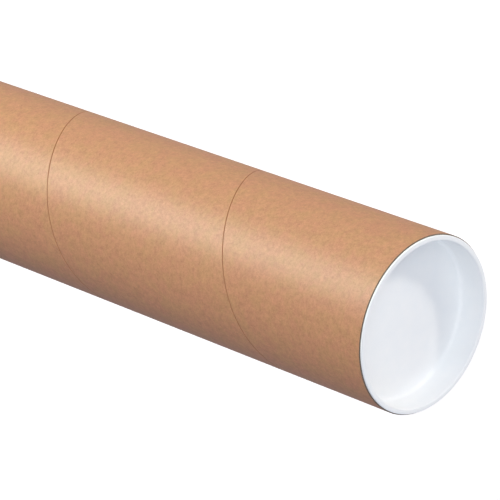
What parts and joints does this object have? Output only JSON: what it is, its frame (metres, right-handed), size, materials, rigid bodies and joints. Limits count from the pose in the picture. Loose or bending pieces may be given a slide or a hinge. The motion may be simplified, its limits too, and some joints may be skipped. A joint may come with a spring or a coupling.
{
  "type": "cardboard mailing tube",
  "caption": "Long round paperboard tube, closed at each end by a push-in plastic cap, for posting rolled papers.",
  "frame": {"origin": "on the tube axis, where the rim of the bottom cap meets the ground", "axes": "+Z along the tube, from the bottom cap to the top cap"},
  "size_m": [0.1056, 0.1056, 0.6122],
  "materials": {
    "paperboard": "uncoated brown paper",
    "cap_plastic": "moulded, low sheen"
  },
  "bodies": {
    "bottom_cap": {"bottom_cap": "cap_plastic"},
    "tube": {"tube": "paperboard"},
    "top_cap": {"top_cap": "cap_plastic"}
  },
  "joints": [
    {"name": "tube_pull", "type": "slide", "parent": "bottom_cap", "child": "tube", "axis": [0, 0, 1], "range_m": [0, 0.06]},
    {"name": "top_cap_pull", "type": "slide", "parent": "tube", "child": "top_cap", "axis": [0, 0, 1], "range_m": [0, 0.06]}
  ]
}
